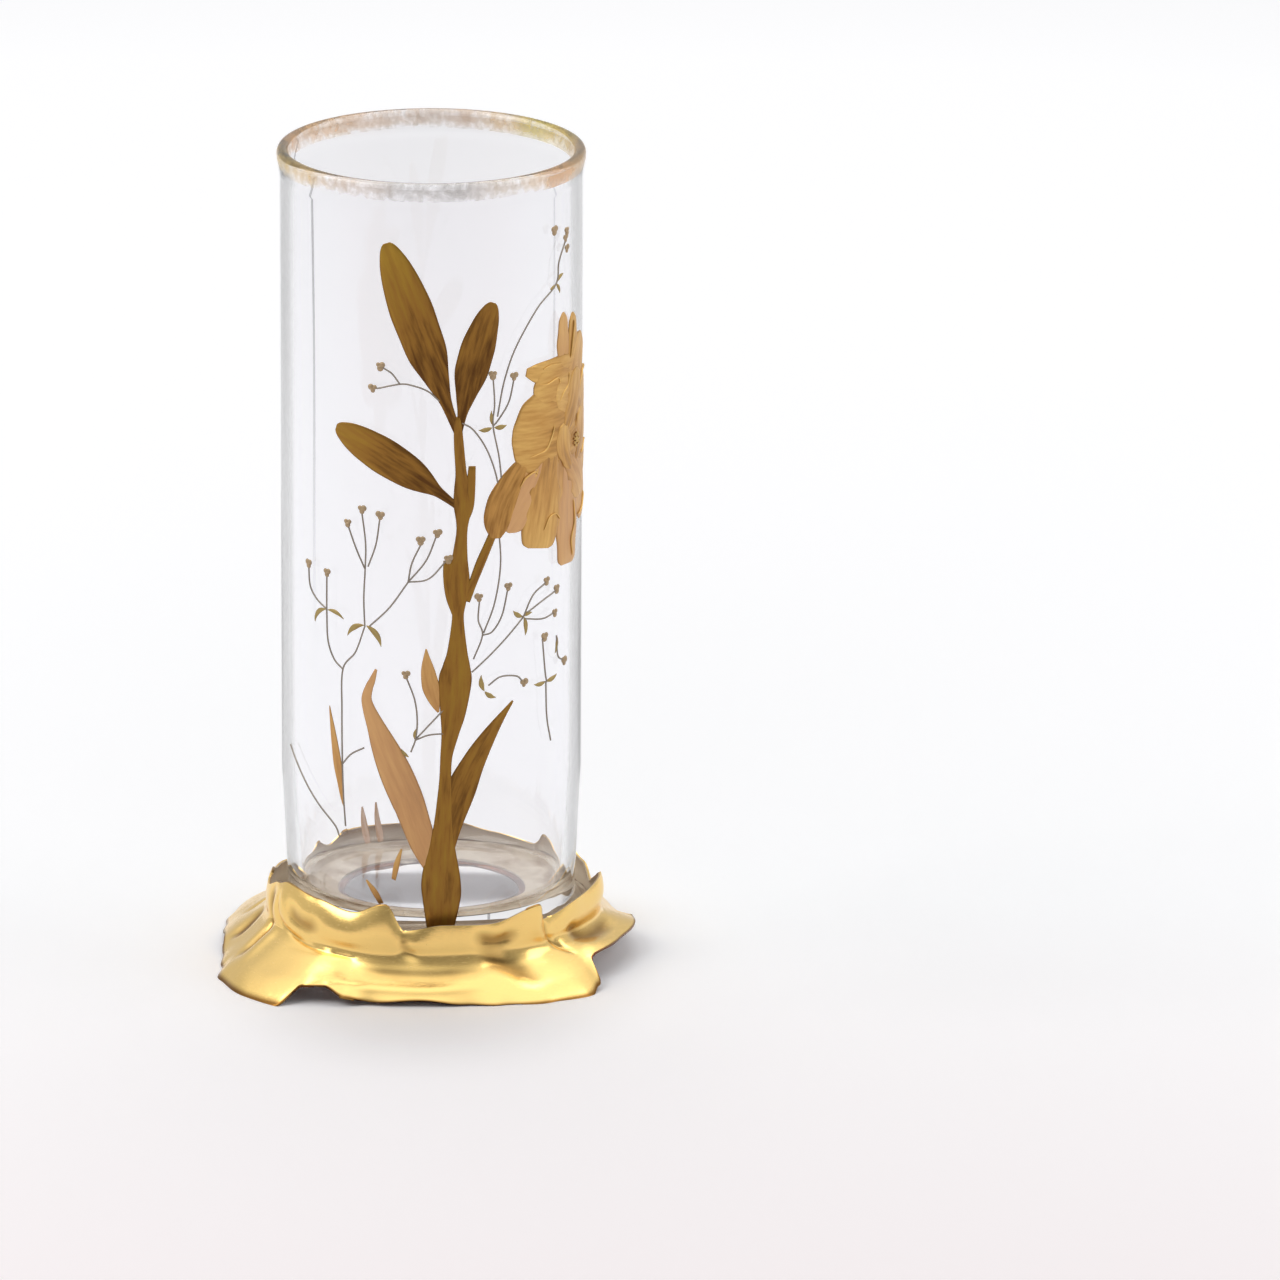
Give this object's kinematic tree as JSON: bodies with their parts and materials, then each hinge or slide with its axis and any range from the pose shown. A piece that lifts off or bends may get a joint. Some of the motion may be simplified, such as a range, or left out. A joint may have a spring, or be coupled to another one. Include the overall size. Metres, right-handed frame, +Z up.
{
  "type": "glass cylinder vase",
  "caption": "Free-standing clear glass cylinder vase with a gilded flowering branch, bedded in a ruffled gilt metal foot.",
  "frame": {"origin": "middle of the foot on the surface it stands on, on the axis of the glass", "axes": "+Z up along the glass, -Y the side with the painted stem, +X to the right of someone facing that side"},
  "size_m": [0.1255, 0.1161, 0.2503],
  "materials": {
    "clear_glass": "clear blown glass",
    "gilt_sheet": "burnished gilding outside",
    "bare_copper": "satin browned copper",
    "plaster": "matt grey plaster",
    "rim_gold": "worn speckled gold wash",
    "raised_gold": "fired raised gold, dark and satin",
    "pale_gold": "fired raised gold, pale and satin"
  },
  "bodies": {
    "root": {"glass_tube": "clear_glass", "foot_shell": "gilt_sheet", "seat_ring": "bare_copper", "setting_bed": "plaster", "rim_gilding": "rim_gold", "stem_gilding": "raised_gold", "leaf_gilding": "raised_gold", "blossom_gilding": "pale_gold", "low_gilding": "pale_gold"}
  },
  "joints": []
}
